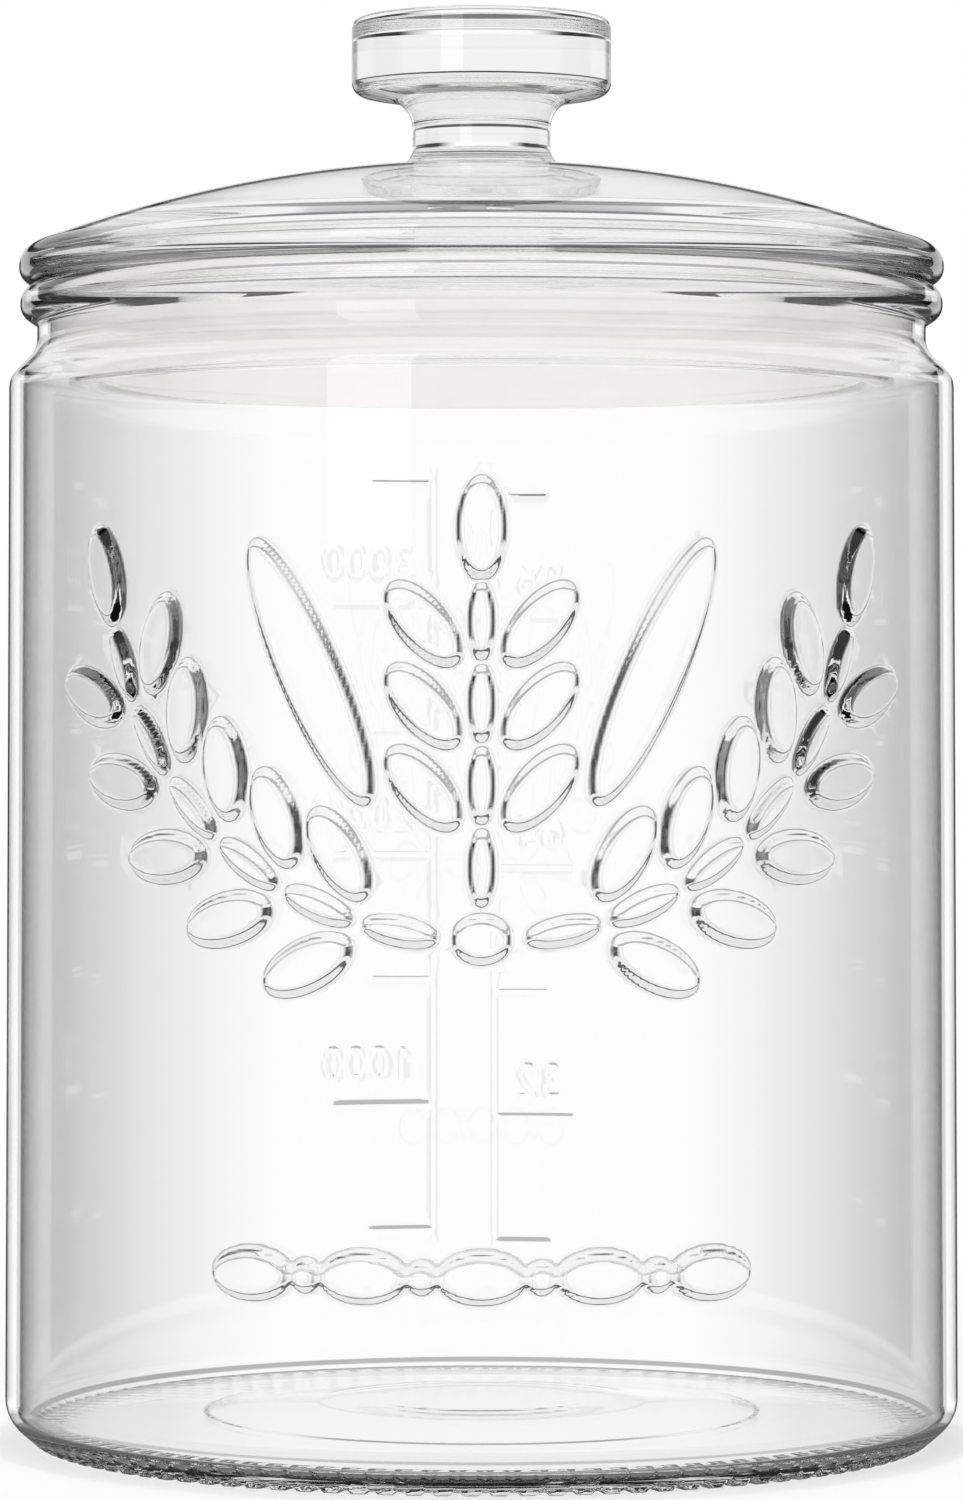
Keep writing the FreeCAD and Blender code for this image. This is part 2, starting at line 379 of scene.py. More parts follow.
class Lathe:
    """Collects the mesh of a turned piece. Angles start at the front, -Y, and grow towards +X.

    Attributes:
        flat: relief lower than this, in mm, isn't worth dividing a cell.
    """

    flat: float = 0.004

    def __init__(self, columns: int) -> None:
        """Starts an empty mesh.

        Args:
            columns: number of cells round the axis.
        """
        self.columns = columns
        self.spots: list[np.ndarray] = []
        self.count = 0
        self.faces: list[Sequence[int]] = []

    def angles(self, split: int = 1) -> np.ndarray:
        """Angles of the columns, each cut into split parts."""
        return np.arange(self.columns * split) * math.tau / (self.columns * split)

    def add(self, radius: np.ndarray, angle: np.ndarray, level: np.ndarray) -> np.ndarray:
        """Adds vertices.

        Args:
            radius: their distance from the axis, in mm.
            angle: their angle.
            level: their height, in mm.

        Returns:
            Their numbers.
        """
        radius, angle, level = np.broadcast_arrays(radius, angle, level)
        spots = np.stack([radius * np.sin(angle), -radius * np.cos(angle), level], -1)
        self.spots.append(spots.reshape(-1, 3) * MM)
        self.count += radius.size
        return np.arange(self.count - radius.size, self.count)

    def ring(self, radius: float, level: float) -> np.ndarray:
        """Adds a plain ring of vertices, or a single one on the axis."""
        return self.add(radius, self.angles() if radius > NO_LENGTH else np.zeros(1), level)

    def strip(self, first: np.ndarray, second: np.ndarray) -> None:
        """Joins two rings, each of which may be a pole or have its columns cut into parts.

        Args:
            first: numbers of one ring's vertices.
            second: numbers of the other ring's vertices.
        """
        if min(len(first), len(second)) == 1:
            pole, rim = sorted((first, second), key=len)
            self.faces += [(pole[0], a, b) for a, b in zip(rim, np.roll(rim, -1))]
            return
        if len(first) == len(second):
            corners = first, np.roll(first, -1), np.roll(second, -1), second
            self.faces += np.stack(corners, -1).tolist()
            return
        first_split, second_split = len(first) // self.columns, len(second) // self.columns
        first, second = np.append(first, first[0]), np.append(second, second[0])
        for i in range(self.columns):
            there = first[i * first_split : (i + 1) * first_split + 1]
            back = second[i * second_split : (i + 1) * second_split + 1]
            self.faces.append([*there, *back[::-1]])

    def turn(self, points: np.ndarray, closed: bool = False) -> None:
        """Turns a whole outline.

        Args:
            points: rows of radius and height, in mm.
            closed: whether the last row joins the first.
        """
        rings = [self.ring(*point) for point in points]
        for first, second in zip(rings, rings[1:] + rings[:1] if closed else rings[1:]):
            self.strip(first, second)

    def carved(self, rises: np.ndarray, split: int) -> np.ndarray:
        """Finds the cells of a wall that carry relief, apart from its first and last row.

        Args:
            rises: height of the relief at each divided row and column, in mm.
            split: number of parts that a cell's side is divided into.

        Returns:
            Whether each cell carries any, row by row.
        """
        wrapped = np.concatenate([rises, rises[:, :1]], 1)
        rows = (len(rises) - 1) // split
        found = np.zeros((rows, self.columns), bool)
        for i, j in np.ndindex(found.shape):
            cell = wrapped[i * split : (i + 1) * split + 1, j * split : (j + 1) * split + 1]
            found[i, j] = 0 < i < rows - 1 and cell.max() > self.flat and np.ptp(cell) > 0
        return found

    def wall(
        self, rings: Sequence[np.ndarray], places: np.ndarray, rises: np.ndarray, split: int
    ) -> None:
        """Fills the wall between two plain rings with cells, and divides those with relief.

        Args:
            rings: numbers of the lower and the upper ring's vertices.
            places: radius and height of each divided row, from ring to ring, in mm.
            rises: height of the relief at each divided row and column, in mm.
            split: number of parts that a cell's side is divided into.
        """
        radii, levels = places[:, :1] + rises, places[:, 1]
        divided = self.carved(rises, split)
        wanted = np.zeros(radii.shape, bool)
        wanted[::split, ::split] = True
        for i, j in np.argwhere(divided):
            across = np.arange(j * split, (j + 1) * split + 1) % radii.shape[1]
            wanted[np.ix_(range(i * split, (i + 1) * split + 1), across)] = True
        wanted[0] = wanted[-1] = False
        numbers = np.full(radii.shape, -1)
        rows, columns = np.nonzero(wanted)
        numbers[wanted] = self.add(radii[wanted], self.angles(split)[columns], levels[rows])
        numbers[0, ::split], numbers[-1, ::split] = rings
        numbers = np.concatenate([numbers, numbers[:, :1]], 1)
        for i, j in np.ndindex(divided.shape):
            cell = numbers[i * split : (i + 1) * split + 1, j * split : (j + 1) * split + 1]
            if divided[i, j]:
                corners = cell[:-1, :-1], cell[:-1, 1:], cell[1:, 1:], cell[1:, :-1]
                self.faces += np.stack([c.ravel() for c in corners], -1).tolist()
            else:
                sides = cell[0, :-1], cell[:-1, -1], cell[-1, :0:-1], cell[:0:-1, 0]
                border = np.concatenate(sides)
                self.faces.append(border[border >= 0].tolist())

    def make(self, name: str) -> bpy.types.Object:
        """Finishes the mesh.

        Args:
            name: name of the piece.

        Returns:
            The piece, shaded smooth.
        """
        mesh = bpy.data.meshes.new(name)
        mesh.from_pydata(np.concatenate(self.spots).tolist(), [], self.faces)
        shape = bmesh.new()
        shape.from_mesh(mesh)
        bmesh.ops.recalc_face_normals(shape, faces=shape.faces)
        shape.to_mesh(mesh)
        shape.free()
        mesh.shade_smooth()
        piece = bpy.data.objects.new(name, mesh)
        bpy.context.scene.collection.objects.link(piece)
        return piece


@dataclass(frozen=True)
class Stroke:
    """Straight raised stroke with round ends.

    Places are in mm right of the middle of a side and above the table.
    """

    start: Point
    end: Point
    radius: float

    def reach(self) -> Reach:
        """Finds the box round the stroke.

        Returns:
            Its left, right, bottom and top.
        """
        (x, z), (end_x, end_z) = self.start, self.end
        return (
            min(x, end_x) - self.radius,
            max(x, end_x) + self.radius,
            min(z, end_z) - self.radius,
            max(z, end_z) + self.radius,
        )

    def depth(self, x: np.ndarray, z: np.ndarray) -> np.ndarray:
        """Measures how far places lie inside the outline.

        Args:
            x: places along the wall, in mm.
            z: heights, in mm.

        Returns:
            The depths, in mm.
        """
        right, up = x - self.start[0], z - self.start[1]
        run, rise = self.end[0] - self.start[0], self.end[1] - self.start[1]
        share = np.clip((right * run + up * rise) / max(run * run + rise * rise, SPECK), 0, 1)
        return self.radius - np.hypot(right - run * share, up - rise * share)


@dataclass(frozen=True)
class Oval:
    """Raised oval. Places are in mm right of the middle of a side and above the table.

    Attributes:
        length: longer size, in mm.
        width: shorter size, in mm.
        across: place of its middle along the wall, in mm.
        level: height of its middle, in mm.
        angle: way that its length points, in degrees above the horizontal.
    """

    length: float
    width: float
    across: float
    level: float
    angle: float = 0.0

    def mirrored(self) -> "Oval":
        """The same oval on the other side of the middle."""
        return replace(self, across=-self.across, angle=-self.angle)

    def reach(self) -> Reach:
        """Left, right, bottom and top of the circle round it."""
        half = self.length / 2
        return self.across - half, self.across + half, self.level - half, self.level + half

    def depth(self, x: np.ndarray, z: np.ndarray) -> np.ndarray:
        """Measures how far places lie inside the outline, nearly true close to it.

        Args:
            x: places along the wall, in mm.
            z: heights, in mm.

        Returns:
            The depths, in mm.
        """
        turn = math.radians(self.angle)
        half_length, half_width = self.length / 2, self.width / 2
        right, up = x - self.across, z - self.level
        along = (right * math.cos(turn) + up * math.sin(turn)) / half_length
        aside = (up * math.cos(turn) - right * math.sin(turn)) / half_width
        share = np.hypot(along, aside) + SPECK
        steepness = np.hypot(along / half_length, aside / half_width) + SPECK / half_width
        return np.minimum((1 - share) * share / steepness, half_width)


@dataclass
class Relief:
    """Raised shapes on one side of the wall.

    Attributes:
        side: side of the wall that carries them.
        rise: their height above the wall, in mm.
        edge: width of the slope along their outlines, in mm.
        shapes: the shapes, which merge where they meet.
        ease: width of the hollow that softens the foot of the slope, in mm.
        fullness: power of the slope's curve. At 1 it would be straight.
    """

    side: Side
    rise: float
    edge: float
    shapes: Sequence[Union[Stroke, Oval]]
    ease: float = 0.6
    fullness: float = 2.2

    def heights(self, angles: np.ndarray, radii: np.ndarray, levels: np.ndarray) -> np.ndarray:
        """Works out the height of the relief over each row and angle of the wall.

        Args:
            angles: angles of the wall's columns.
            radii: radius of each row, in mm.
            levels: height of each row, in mm.

        Returns:
            The heights, row by row, in mm.
        """
        across = radii.mean() * ((angles - self.side.value + math.pi) % math.tau - math.pi)
        depth = np.full((len(levels), len(angles)), -self.ease)
        for shape in self.shapes:
            left, right, bottom, top = shape.reach()
            columns = np.flatnonzero((across > left) & (across < right))
            rows = np.flatnonzero((levels > bottom) & (levels < top))
            block = np.ix_(rows, columns)
            inside = shape.depth(across[columns][None, :], levels[rows][:, None])
            depth[block] = np.maximum(depth[block], inside)
        foot = np.clip(depth + self.ease / 2, 0, self.ease) ** 2 / (2 * self.ease)
        depth = np.where(depth > self.ease / 2, depth, foot)
        return self.rise * (1 - (1 - np.clip(depth / self.edge, 0, 1)) ** self.fullness)


@dataclass(frozen=True)
class GrainOrnament:
    """An upright ear of grain and two leaves between two branches that curve up from the middle.

    Lengths are in mm and angles in degrees. The solid carries the same ovals as flat pads.
    """

    grain_length: float = 17.0
    grain_width: float = 8.4
    grain_offset: float = 3.9
    grain_lean: float = 42.0
    joint_length: float = 12.8
    joint_width: float = 4.6
    ear_foot: float = 110.5
    ear_pitch: float = 13.5
    ear_pairs: int = 3
    branch_radius: float = 72.0
    branch_centre: float = 164.0
    branch_first: float = 16.5
    branch_step: float = 11.5
    branch_pairs: int = 5
    leaf: Oval = Oval(48.0, 11.0, 29.0, 136.0, 65.0)
    tie_length: float = 10.0
    tie_width: float = 8.0

    def grain(self, across: float, level: float, angle: float) -> Oval:
        """Places one grain by its foot.

        Args:
            across: place of its foot along the wall.
            level: height of its foot.
            angle: way that it points.

        Returns:
            The grain.
        """
        way, half = math.radians(angle), self.grain_length / 2
        middle = across + half * math.cos(way), level + half * math.sin(way)
        return Oval(self.grain_length, self.grain_width, *middle, angle)

    def pair(self, across: float, level: float, angle: float) -> Iterator[Oval]:
        """Places two grains that lean away from a stem, on either side of it.

        Args:
            across: place of the stem along the wall.
            level: height of the stem there.
            angle: way that the stem points.

        Yields:
            The grains.
        """
        for side in (-1, 1):
            aside = math.radians(angle + side * 90)
            right, up = self.grain_offset * math.cos(aside), self.grain_offset * math.sin(aside)
            yield self.grain(across + right, level + up, angle + side * self.grain_lean)

    def stem(self, spots: Callable[[float], Corner], pairs: int) -> Iterator[Oval]:
        """Places a jointed stem with pairs of grains and one grain at its tip.

        Args:
            spots: place and angle of the stem at a number of steps beyond its first pair.
            pairs: number of pairs.

        Yields:
            Its ovals.
        """
        for i in range(pairs + 1):
            yield Oval(self.joint_length, self.joint_width, *spots(i - 0.5))
            yield from self.pair(*spots(i)) if i < pairs else [self.grain(*spots(i))]

    def ear_spot(self, step: float) -> Corner:
        """Place and angle of the upright stem."""
        return 0.0, self.ear_foot + step * self.ear_pitch, 90.0

    def branch_spot(self, step: float) -> Corner:
        """Follows the right branch, which is an arc.

        Args:
            step: number of steps beyond its first pair.

        Returns:
            Place and angle of the branch there.
        """
        angle = self.branch_first + step * self.branch_step
        turn = math.radians(angle)
        across = self.branch_radius * math.sin(turn)
        return across, self.branch_centre - self.branch_radius * math.cos(turn), angle

    def shapes(self) -> list[Oval]:
        """Lays out the whole ornament.

        Returns:
            Its ovals.
        """
        ear = self.stem(self.ear_spot, self.ear_pairs)
        half = [*self.stem(self.branch_spot, self.branch_pairs), self.leaf]
        tie = Oval(self.tie_length, self.tie_width, 0.0, self.branch_centre - self.branch_radius)
        return [*ear, *half, *(oval.mirrored() for oval in half), tie]


@dataclass(frozen=True)
class BeadRow:
    """Row of spindles and beads low on the front, in mm. The solid carries it too."""

    level: float = 36.4
    pitch: float = 9.8
    spindles: int = 5
    spindle_length: float = 15.0
    spindle_width: float = 8.6
    bead_width: float = 5.4

    def shapes(self) -> list[Oval]:
        """Lays out the whole row.

        Returns:
            Its ovals.
        """
        spindle, bead = (self.spindle_length, self.spindle_width), (self.bead_width, self.bead_width)
        return [
            Oval(*(spindle if (i + self.spindles) % 2 else bead), i * self.pitch, self.level)
            for i in range(1 - self.spindles, self.spindles)
        ]


@dataclass(frozen=True)
class ScaleColumn:
    """One of the two columns of the measuring scale, in mm as seen from outside.

    Attributes:
        spine: place of its upright line.
        way: 1 if its marks go right from there, -1 if left.
        short: length of every mark.
        long: length of the marks with numbers.
        lowest: height of its lowest mark.
        labels: left end of the numbers.
        numbers: numbers over the long marks, from the second mark on.
        label_lift: height of the numbers over their marks.
    """

    spine: float
    way: int
    short: float
    long: float
    lowest: float
    labels: float
    numbers: tuple[str, ...]
    label_lift: float


@dataclass(frozen=True)
class MeasuringScale:
    """Raised millilitre and ounce columns on the back of the wall, in mm."""

    pitch: float = 24.1
    marks: int = 7
    spine_overrun: float = 2.0
    line_radius: float = 0.55
    digit_height: float = 6.0
    digit_width: float = 3.4
    digit_pitch: float = 4.7
    bow_step: float = 30.0
    columns: tuple[ScaleColumn, ...] = (
        ScaleColumn(9.4, 1, 12.6, 20.5, 29.5, 13.9, ("1000", "2000", "3000"), 5.0),
        ScaleColumn(-2.5, -1, 10.8, 15.8, 27.0, -15.6, ("32", "64", "96"), 4.0),
    )

    def bow(
        self, middle: Point, wide: float, high: float, start: float, end: float
    ) -> list[Point]:
        """Draws a part of an upright oval.

        Args:
            middle: middle of the oval.
            wide: half its width.
            high: half its height.
            start: angle of its first point, in degrees.
            end: angle of its last point, in degrees.

        Returns:
            Its points.
        """
        count = max(3, round(abs(end - start) / self.bow_step) + 1)
        turns = np.radians(np.linspace(start, end, count))
        return [(middle[0] + wide * math.cos(a), middle[1] + high * math.sin(a)) for a in turns]

    def digit(self, sign: str) -> list[list[Point]]:
        """Draws one digit in a box 1 wide and 1 high.

        Args:
            sign: the digit.

        Returns:
            Its lines.
        """
        bow = self.bow
        upper_bow = bow((0.45, 0.75), 0.42, 0.25, 150, -90)
        lower_bow = bow((0.45, 0.25), 0.5, 0.25, 90, -150)
        return {
            "0": [bow((0.5, 0.5), 0.5, 0.5, 0, 360)],
            "1": [[(0.2, 0.8), (0.55, 1.0), (0.55, 0.0)]],
            "2": [[*bow((0.5, 0.72), 0.45, 0.28, 170, -40), (0.05, 0.0), (0.98, 0.0)]],
            "3": [[*upper_bow, *lower_bow]],
            "4": [[(0.75, 0.0), (0.75, 1.0), (0.05, 0.3), (1.0, 0.3)]],
            "6": [bow((0.5, 0.3), 0.46, 0.3, 0, 360), bow((0.96, 0.4), 0.92, 0.6, 180, 105)],
            "9": [bow((0.5, 0.7), 0.46, 0.3, 0, 360), bow((0.04, 0.6), 0.92, 0.6, 0, -75)],
        }[sign]

    def line(self, points: Sequence[Point]) -> Iterator[Stroke]:
        """Strokes of one thin line."""
        for first, second in zip(points, points[1:]):
            yield Stroke(first, second, self.line_radius)

    def number(self, text: str, left: float, foot: float) -> Iterator[Stroke]:
        """Draws a number.

        Args:
            text: its digits.
            left: place of its left end.
            foot: height of its foot.

        Yields:
            Its strokes.
        """
        for i, sign in enumerate(text):
            corner = left + i * self.digit_pitch
            for points in self.digit(sign):
                yield from self.line(
                    [(corner + x * self.digit_width, foot + z * self.digit_height) for x, z in points]
                )

    def shapes(self) -> list[Stroke]:
        """Draws both columns.

        Returns:
            Their strokes.
        """
        found: list[Stroke] = []
        for column in self.columns:
            foot = column.lowest - self.spine_overrun
            top = column.lowest + (self.marks - 1) * self.pitch + self.spine_overrun
            found += self.line([(column.spine, foot), (column.spine, top)])
            for i in range(self.marks):
                level = column.lowest + i * self.pitch
                end = column.spine + column.way * (column.long if i % 2 else column.short)
                found += self.line([(column.spine, level), (end, level)])
                if i % 2:
                    label_foot = level + column.label_lift
                    found += self.number(column.numbers[i // 2], column.labels, label_foot)
        return found


@dataclass
class JarBody:
    """Blown jar: domed floor on a ribbed ring, straight wall, shoulder, neck and rolled rim.

    Lengths are in mm.
    """

    height: float = 205.16
    body_radius: float = 84.7
    body_draft: float = 0.84
    body_wall: float = 3.0
    heel_run: float = 5.4
    heel_rise: float = 4.6
    heel_round: float = 7.0
    inside_heel_round: float = 5.0
    floor_thickness: float = 3.8
    bearing_width: float = 4.6
    bearing_edge_round: float = 0.8
    push_up: float = 3.4
    push_up_inner: float = 24.0
    push_up_round: float = 150.0
    panel_radius: float = 49.2
    panel_step: float = 0.8
    panel_step_run: float = 0.7
    panel_step_round: float = 0.3
    shoulder_height: float = 188.3
    shoulder_rise: float = 5.1
    shoulder_wall: float = 2.6
    shoulder_round: float = 4.0
    shoulder_inside_round: float = 3.0
    neck_radius: float = 78.9
    neck_wall: float = 2.3
    neck_round: float = 5.0
    neck_inside_round: float = 7.0
    rim_radius: float = 81.9
    rim_height: float = 7.46
    rim_under_rise: float = 2.0
    rim_root_round: float = 0.8
    rim_under_round: float = 2.9
    rim_top_round: float = 3.6
    mouth_edge_round: float = 0.8
    columns: int = 210
    rows: int = 69
    cell_split: int = 4
    rib_count: int = 105
    rib_turn: float = math.radians(-1.3)
    rib_depth: float = 0.55
    rib_fade: float = 0.8
    rib_reach: float = 2.8
    rib_floor_gap: float = 0.1
    rib_split: int = 4
    rib_half_share: float = 0.42
    rib_narrowing_share: float = 0.17
    rib_flank_share: float = 0.12
    reliefs: Sequence[Relief] = ()

    def wall_radius(self, level: Union[float, np.ndarray]) -> Union[float, np.ndarray]:
        """Outside of the wall at a height: it leans in by its draft up to the shoulder."""
        return self.body_radius - self.body_draft * level / self.shoulder_height

    def bearing(self) -> Point:
        """Inner and outer radius of the ring that the jar stands on."""
        outer = self.body_radius - self.heel_run
        return outer - self.bearing_width, outer

    def outline(self) -> Outline:
        """Draws the half section from the middle of the underside to the middle of the floor.

        Returns:
            The half section.
        """
        ring_inner, ring_outer = self.bearing()
        mouth = self.neck_radius - self.neck_wall
        shoulder = self.wall_radius(self.shoulder_height)
        wall_inside = shoulder - self.body_wall
        slope = self.shoulder_rise / (shoulder - self.neck_radius)
        under_shoulder = self.shoulder_height - self.shoulder_wall * math.hypot(1, slope)
        under_slope = self.push_up / (ring_inner - self.push_up_inner)
        panel_foot = (ring_inner - self.panel_radius) * under_slope
        panel_edge = panel_foot + self.panel_step_run * under_slope + self.panel_step
        panel = self.push_up + self.panel_step
        rim_bottom = self.height - self.rim_height
        floor_radius = self.wall_radius(self.floor_thickness) - self.body_wall
        dome = self.floor_thickness + self.push_up
        return Outline([
            (0, panel, 0),
            (self.push_up_inner, panel, self.push_up_round),
            (self.panel_radius - self.panel_step_run, panel_edge, self.panel_step_round),
            (self.panel_radius, panel_foot, self.panel_step_round),
            (ring_inner - self.rib_fade, self.rib_fade * under_slope, 0),
            (ring_inner, 0, self.bearing_edge_round),
            (ring_outer, 0, self.bearing_edge_round),
            (self.wall_radius(self.heel_rise), self.heel_rise, self.heel_round),
            (shoulder, self.shoulder_height, self.shoulder_round),
            (self.neck_radius, self.shoulder_height + self.shoulder_rise, self.neck_round),
            (self.neck_radius, rim_bottom, self.rim_root_round),
            (self.rim_radius, rim_bottom + self.rim_under_rise, self.rim_under_round),
            (self.rim_radius, self.height, self.rim_top_round),
            (mouth, self.height, self.mouth_edge_round),
            (mouth, under_shoulder + (shoulder - mouth) * slope, self.neck_inside_round),
            (wall_inside, under_shoulder + self.body_wall * slope, self.shoulder_inside_round),
            (floor_radius, self.floor_thickness, self.inside_heel_round),
            (ring_inner, self.floor_thickness, self.push_up_round),
            (self.push_up_inner, dome, self.push_up_round),
            (0, dome, 0),
        ])

    def ribs(self, lathe: Lathe, radius: float, level: float) -> np.ndarray:
        """Adds a ring of the outline, with grooves between ribs where the jar stands.

        Args:
            lathe: lathe that takes the ring.
            radius: radius of the ring, in mm.
            level: height of the ring, in mm.

        Returns:
            Numbers of its vertices.
        """
        inner, outer = self.bearing()
        ends = [inner - self.rib_fade, inner, outer + self.rib_fade, outer + self.rib_reach]
        share = np.interp(radius, ends, [0, 1, 1, 0])
        if share == 0 or level > self.floor_thickness - self.rib_floor_gap:
            return lathe.ring(radius, level)
        angles = lathe.angles(self.rib_split)
        phase = np.abs(((angles - self.rib_turn) * self.rib_count / math.tau + 0.5) % 1 - 0.5)
        flank = self.rib_half_share - self.rib_narrowing_share * share
        grooves = np.clip((phase - flank) / self.rib_flank_share, 0, 1)
        return lathe.add(radius, angles, level + grooves * self.rib_depth * math.sqrt(share))

    def build(self) -> bpy.types.Object:
        """Builds the jar as one closed mesh in place of its CAD node.

        Returns:
            The jar.
        """
        lathe = Lathe(self.columns)
        points = self.outline().points()
        off_wall = np.abs(points[:, 0] - self.wall_radius(points[:, 1]))
        on_wall = np.flatnonzero(off_wall < NO_LENGTH)
        start, stop = on_wall[1], on_wall[-2]
        rings = [self.ribs(lathe, *point) for point in points]
        for i in range(len(rings) - 1):
            if i != start:
                lathe.strip(rings[i], rings[i + 1])
        places = np.linspace(points[start], points[stop], self.rows * self.cell_split + 1)
        angles = lathe.angles(self.cell_split)
        rises = sum(relief.heights(angles, *places.T) for relief in self.reliefs)
        lathe.wall((rings[start], rings[stop]), places, rises, self.cell_split)
        return lathe.make("jar_glass_body")

    def dress(self, piece: bpy.types.Object, finish: SodaLimeGlass) -> None:
        """Gives the jar its glass and its place in the frame."""
        settle(piece, finish.make(), Body.JAR, "jar_body")


@dataclass
class Lid:
    """Pressed lid: knob, waisted stem, crown, lip and hollow plug in one piece of glass, in mm."""

    seat: float = 205.2
    radius: float = 82.1
    thickness: float = 5.0
    lip_under_round: float = 2.6
    lip_top_round: float = 3.9
    crown_height: float = 21.5
    crown_radius: float = 222.0
    crown_edge_inset: float = 4.1
    stem_radius: float = 12.3
    stem_height: float = 10.8
    stem_foot_round: float = 3.5
    stem_head_round: float = 5.0
    knob_radius: float = 23.1
    knob_thickness: float = 13.2
    knob_taper: float = 1.8
    knob_under_round: float = 2.3
    knob_top_round: float = 1.8
    knob_crown_radius: float = 400.0
    plug_radius: float = 72.35
    plug_wall: float = 4.5
    plug_root_round: float = 0.2
    plug_inside_round: float = 4.0
    plug_inside_foot_round: float = 2.0
    plug_bead: float = 1.1
    plug_bead_top: float = 188.45
    plug_bottom: float = 186.8
    plug_foot_round: float = 0.5
    columns: int = 210

    @staticmethod
    def tangent(apex: float, radius: float, touch: float, r: float) -> float:
        """Follows the line that touches a spherical crown.

        Args:
            apex: height of the crown's top.
            radius: radius of its sphere.
            touch: distance from the axis where the line touches it.
            r: distance from the axis of the place wanted.

        Returns:
            Height of the line at that place.
        """
        slope = math.asin(touch / radius)
        return apex - radius * (1 - math.cos(slope)) - (r - touch) * math.tan(slope)

    @staticmethod
    def crown(apex: float, radius: float, inner: float, outer: float) -> Corner:
        """Finds the corner whose round is a stretch of a spherical crown.

        Args:
            apex: height of the crown's top.
            radius: radius of its sphere.
            inner: distance from the axis where the stretch starts.
            outer: distance from the axis where it ends.

        Returns:
            The corner.
        """
        inner, outer = math.asin(inner / radius), math.asin(outer / radius)
        reach, middle = radius / math.cos((outer - inner) / 2), (outer + inner) / 2
        return reach * math.sin(middle), apex - radius + reach * math.cos(middle), radius

    def outline(self) -> Outline:
        """Draws the half section from the top of the knob to the middle of the hollow.

        Returns:
            The half section.
        """
        top = self.seat + self.crown_height
        stem_top = top + self.stem_height
        knob_bottom = stem_top + self.knob_taper
        knob_edge = knob_bottom + self.knob_thickness
        knob_touch = self.knob_radius - self.knob_top_round
        knob_top = knob_edge - self.tangent(0, self.knob_crown_radius, knob_touch, self.knob_radius)
        stem_touch = self.stem_radius + self.stem_foot_round
        stem_foot = self.tangent(top, self.crown_radius, stem_touch, self.stem_radius)
        lip_touch = self.radius - self.crown_edge_inset
        lip_top = self.tangent(top, self.crown_radius, lip_touch, self.radius)
        inside = self.plug_radius - self.plug_wall
        bead = self.plug_radius + self.plug_bead
        under, under_radius = top - self.thickness, self.crown_radius - self.thickness
        under_touch = inside - self.plug_inside_round
        under_edge = self.tangent(under, under_radius, under_touch, inside)
        return Outline([
            (0, knob_top, 0),
            self.crown(knob_top, self.knob_crown_radius, 0, knob_touch),
            (self.knob_radius, knob_edge, self.knob_top_round),
            (self.knob_radius, knob_bottom, self.knob_under_round),
            (self.stem_radius, stem_top, self.stem_head_round),
            (self.stem_radius, stem_foot, self.stem_foot_round),
            self.crown(top, self.crown_radius, stem_touch, lip_touch),
            (self.radius, lip_top, self.lip_top_round),
            (self.radius, self.seat, self.lip_under_round),
            (self.plug_radius, self.seat, self.plug_root_round),
            (self.plug_radius, self.plug_bead_top, self.plug_root_round),
            (bead, self.plug_bead_top, self.plug_foot_round),
            (bead, self.plug_bottom, self.plug_foot_round),
            (inside, self.plug_bottom, self.plug_inside_foot_round),
            (inside, under_edge, self.plug_inside_round),
            self.crown(under, under_radius, 0, under_touch),
            (0, under, 0),
        ])

    def build(self) -> bpy.types.Object:
        """Builds the lid as one closed mesh in place of its CAD node.

        Returns:
            The lid.
        """
        lathe = Lathe(self.columns)
        lathe.turn(self.outline().points())
        return lathe.make("lid_glass_body")

    def dress(self, piece: bpy.types.Object, finish: SodaLimeGlass) -> None:
        """Gives the lid its glass and its place in the frame."""
        settle(piece, finish.make(), Body.LID, "lid")


@dataclass
class LidSeal:
    """Soft sleeve round the plug, with a collar at its top and raked lips below it, in mm."""

    top: float = 201.0
    bottom: float = 188.5
    inner_radius: float = 72.4
    outer_radius: float = 73.9
    edge_round: float = 0.2
    collar_height: float = 5.4
    collar_round: float = 0.8
    lip_radius: float = 76.3
    lip_count: int = 2
    lip_pitch: float = 3.0
    lip_start: float = 0.4
    lip_thickness: float = 0.9
    lip_rake: float = 0.5
    lip_tip_round: float = 0.35
    lip_root_round: float = 0.4
    arc_step: float = math.radians(15)
    columns: int = 210

    def outline(self) -> Outline:
        """Draws the closed half section.

        Returns:
            The half section.
        """
        corners: list[Corner] = [
            (self.inner_radius, self.top, self.edge_round),
            (self.inner_radius, self.bottom, self.edge_round),
            (self.outer_radius, self.bottom, self.edge_round),
        ]
        for lip in range(self.lip_count):
            under = self.bottom + self.lip_start + lip * self.lip_pitch
            over = under + self.lip_thickness
            corners += [
                (self.outer_radius, under, self.lip_root_round),
                (self.lip_radius, under + self.lip_rake, self.lip_tip_round),
                (self.lip_radius, over + self.lip_rake, self.lip_tip_round),
                (self.outer_radius, over, self.lip_root_round),
            ]
        collar = self.top - self.collar_height
        corners += [
            (self.outer_radius, collar, self.lip_root_round),
            (self.lip_radius, collar, self.collar_round),
            (self.lip_radius, self.top, self.collar_round),
        ]
        return Outline(corners, closed=True, arc_step=self.arc_step)

    def build(self) -> bpy.types.Object:
        """Builds the seal as one closed mesh in place of its CAD node.

        Returns:
            The seal.
        """
        lathe = Lathe(self.columns)
        lathe.turn(self.outline().points(), closed=True)
        return lathe.make("seal_silicone_sleeve")

    def dress(self, piece: bpy.types.Object, finish: MilkySilicone) -> None:
        """Gives the seal its rubber and its place in the frame."""
        settle(piece, finish.make(), Body.LID, "lid_seal")


